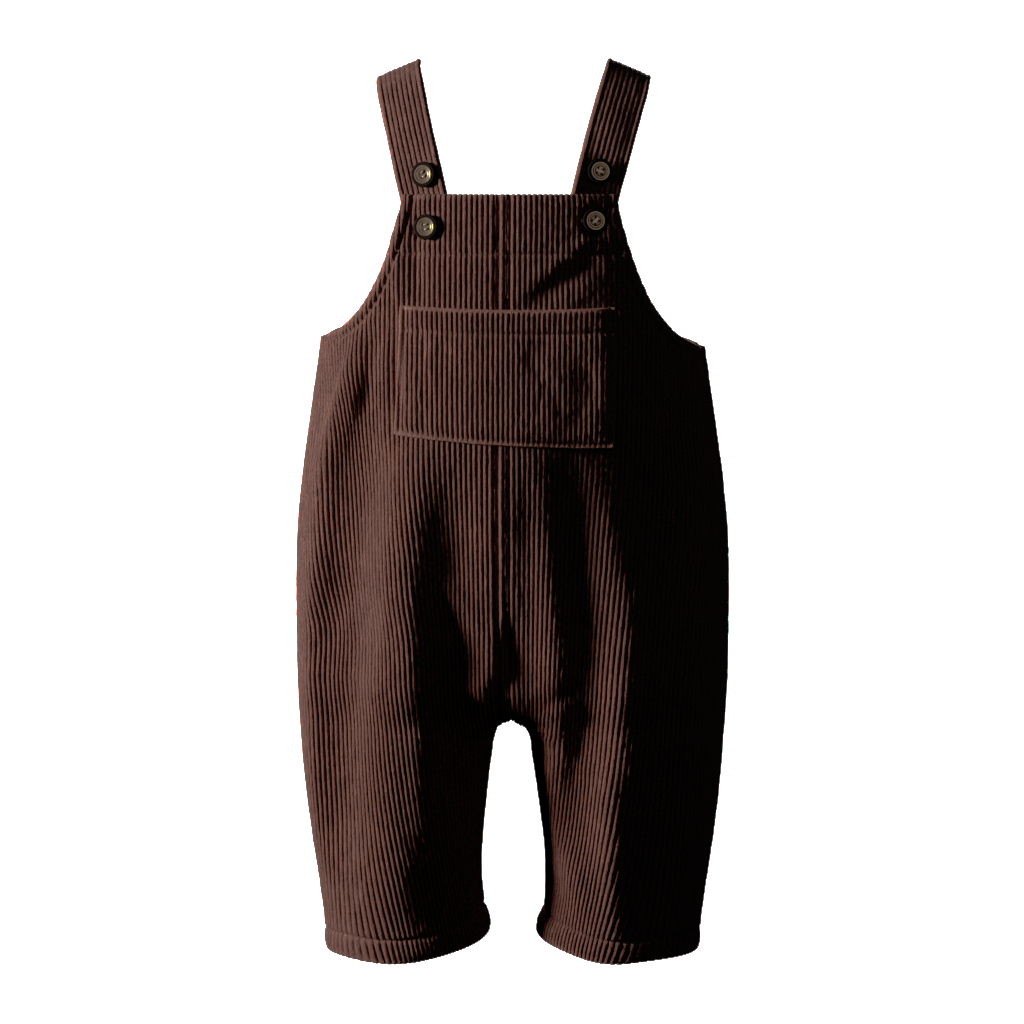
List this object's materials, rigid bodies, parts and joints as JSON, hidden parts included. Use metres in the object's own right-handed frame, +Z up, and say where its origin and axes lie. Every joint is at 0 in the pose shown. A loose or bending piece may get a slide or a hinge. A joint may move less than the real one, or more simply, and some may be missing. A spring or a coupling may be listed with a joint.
{
  "type": "toddler overalls",
  "caption": "Hollow corduroy overalls for a toddler, with bib, chest pocket, two buttoned shoulder straps and short wide legs.",
  "frame": {"origin": "midway between the two shoulder straps, at the height of their inner crests, where a wearer's shoulders hold the garment up", "axes": "+Z up from hem to shoulders, +Y from the front towards the back, +X to the right of a person who looks at the front"},
  "size_m": [0.2773, 0.1379, 0.5769],
  "materials": {
    "corduroy": "brown cotton corduroy, 8 wales to the inch",
    "button": "horn-look resin, dark rim"
  },
  "bodies": {
    "root": {"front_left": "corduroy", "front_right": "corduroy", "back_left": "corduroy", "back_right": "corduroy", "pocket": "corduroy", "strap_left": "corduroy", "strap_right": "corduroy", "button_strap_left": "button", "button_strap_right": "button", "button_bib_left": "button", "button_bib_right": "button"}
  },
  "joints": []
}
